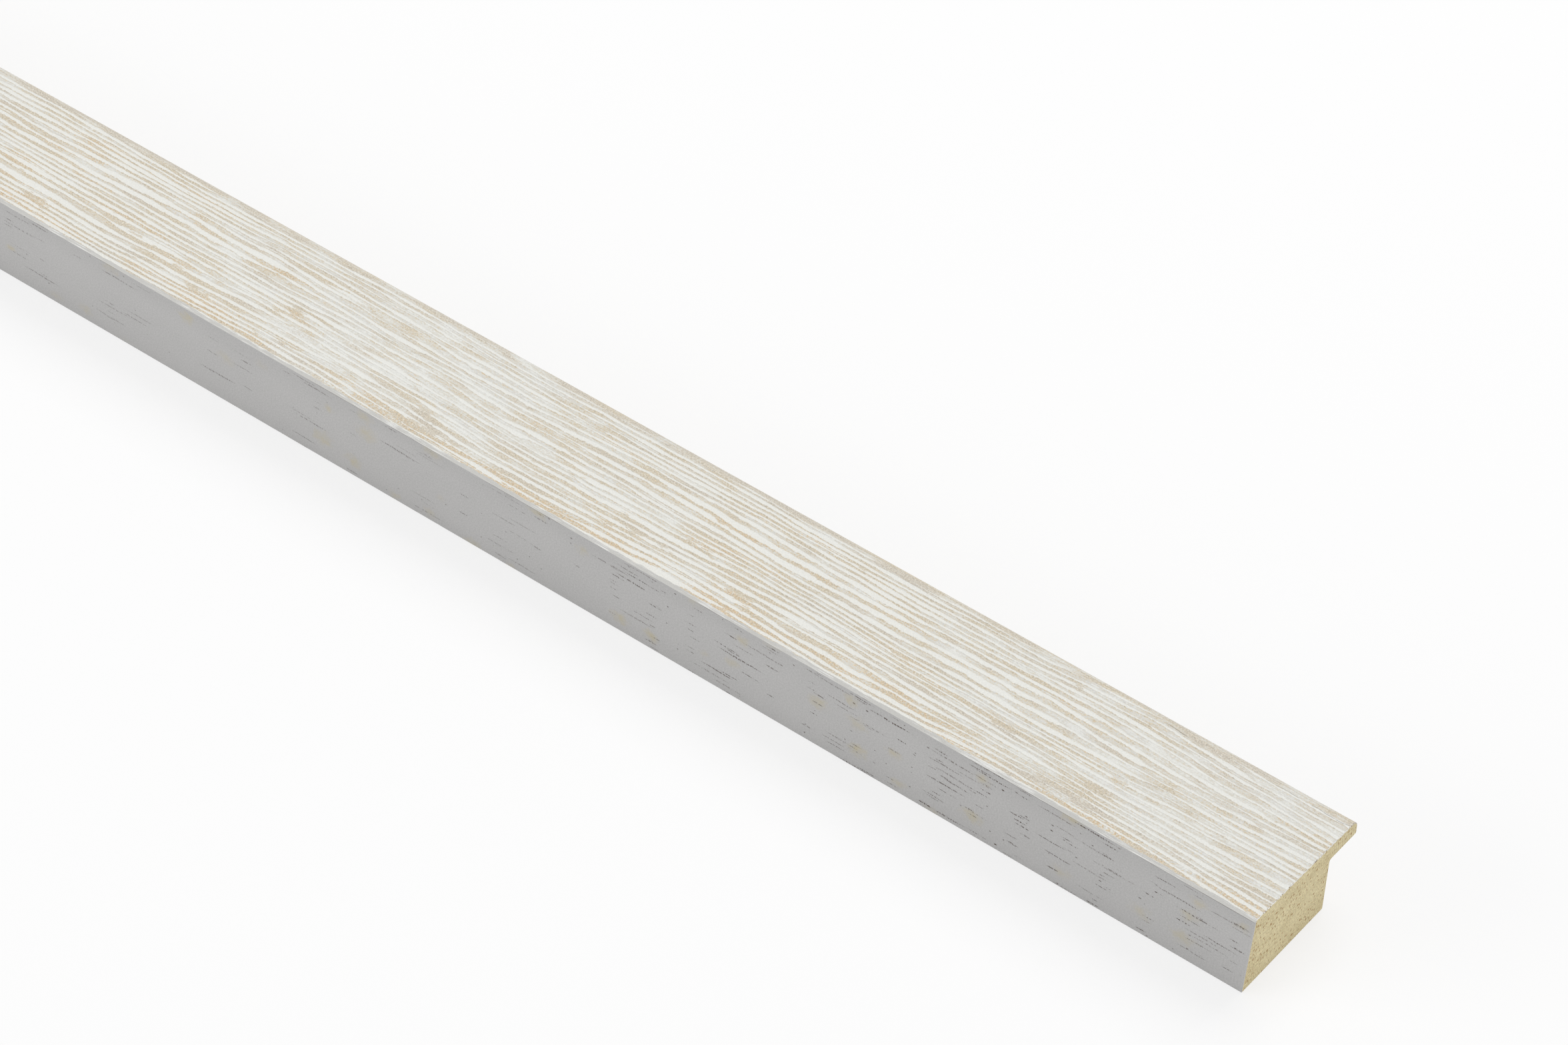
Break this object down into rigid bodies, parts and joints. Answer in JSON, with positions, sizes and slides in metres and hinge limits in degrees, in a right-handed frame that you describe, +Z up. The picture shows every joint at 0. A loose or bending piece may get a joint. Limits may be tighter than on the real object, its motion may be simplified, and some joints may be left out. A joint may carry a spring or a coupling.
{
  "type": "picture frame moulding",
  "caption": "Straight wooden picture frame moulding: flat brushed whitewashed face, grey painted outer side, rounded lip and a rebate under it for glass, picture and backing.",
  "frame": {"origin": "middle of the length and of the width, on the floor under the flat back", "axes": "+X along the length, +Y towards the sight edge (the lip that borders the picture), +Z up out of the decorated face; the flat back lies on z = 0"},
  "size_m": [1, 0.03, 0.0162],
  "materials": {
    "finished_wood": "brushed grain, whitewashed face, matt grey side, raw back and ends"
  },
  "bodies": {
    "root": {"frame_moulding": "finished_wood"}
  },
  "joints": []
}
